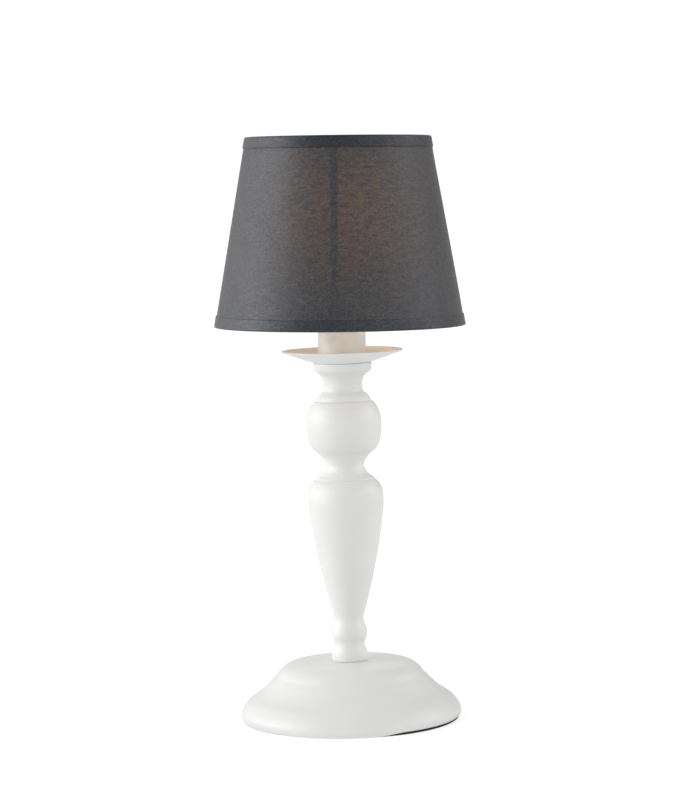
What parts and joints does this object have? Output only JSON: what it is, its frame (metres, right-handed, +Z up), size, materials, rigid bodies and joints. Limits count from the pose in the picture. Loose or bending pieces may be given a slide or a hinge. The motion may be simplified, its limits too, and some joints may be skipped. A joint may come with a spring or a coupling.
{
  "type": "table lamp",
  "caption": "Candlestick table lamp: tapered fabric shade held by a ring nut, candle sleeve, drip pan, turned stem and round weighted base.",
  "frame": {"origin": "centre of the resting face, under the pad", "axes": "+Z up along the stem, -Y to the front, +Y to the cord inlet"},
  "size_m": [0.2, 0.2, 0.4634],
  "materials": {
    "white_paint": "satin white powder coat",
    "pad_foam": "black foam",
    "cast_iron": "rough casting",
    "black_plastic": "moulded, semi-matt",
    "zinc_steel": "bright zinc plate",
    "brass": "pressed, bare",
    "sleeve_plastic": "satin off-white tube",
    "ceramic": "unglazed steatite",
    "shade_fabric": "plain-weave cotton on a white liner",
    "trim_fabric": "folded plain-weave cotton",
    "white_wire": "white coated wire",
    "opal_glass": "opal, lit",
    "bulb_alloy": "rolled thread",
    "black_glass": "fused black glass",
    "clear_glass": "clear",
    "filament": "coiled tungsten"
  },
  "bodies": {
    "lamp": {"base_shell": "white_paint", "base_pad": "pad_foam", "base_weight": "cast_iron", "cord_bush": "black_plastic", "base_washer": "zinc_steel", "earth_tag": "brass", "base_nut": "zinc_steel", "lamp_tube": "zinc_steel", "stem_lower": "white_paint", "stem_middle": "white_paint", "stem_upper": "white_paint", "drip_pan": "white_paint", "pan_washer": "zinc_steel", "pan_nut": "zinc_steel", "candle_sleeve": "sleeve_plastic", "holder_cap": "black_plastic", "holder_set_screw": "zinc_steel", "holder_body": "black_plastic", "contact_carrier": "ceramic", "terminal_screw_live": "zinc_steel", "terminal_screw_neutral": "zinc_steel", "screw_shell": "brass", "centre_contact": "brass"},
    "ring_nut": {"ring_nut": "black_plastic"},
    "shade": {"shade_cover": "shade_fabric", "top_trim": "trim_fabric", "bottom_trim": "trim_fabric", "top_ring": "white_wire", "shade_frame": "white_wire"},
    "bulb_foot": {"bulb_contact": "zinc_steel", "bulb_insulator": "black_glass"},
    "bulb": {"bulb_glass": "opal_glass", "bulb_cap": "bulb_alloy", "bulb_mount": "clear_glass", "bulb_filament": "filament"}
  },
  "joints": [
    {"name": "shade_lift", "type": "slide", "parent": "lamp", "child": "ring_nut", "axis": [0, 0, 1], "range_m": [0, 0.12]},
    {"name": "shade_turn", "type": "hinge", "parent": "ring_nut", "child": "shade", "pos_m": [0, 0, 0.336], "axis": [0, 0, 1], "continuous": true},
    {"name": "bulb_rise", "type": "slide", "parent": "lamp", "child": "bulb_foot", "axis": [0, 0, 1], "range_m": [0, 0.0182]},
    {"name": "bulb_turn", "type": "hinge", "parent": "bulb_foot", "child": "bulb", "pos_m": [0, 0, 0.34], "axis": [0, 0, 1], "range_deg": [0, 1800]}
  ],
  "couplings": [
    {"joint": "bulb_rise", "follows": "bulb_turn", "m_per_rad": 0.000576}
  ]
}
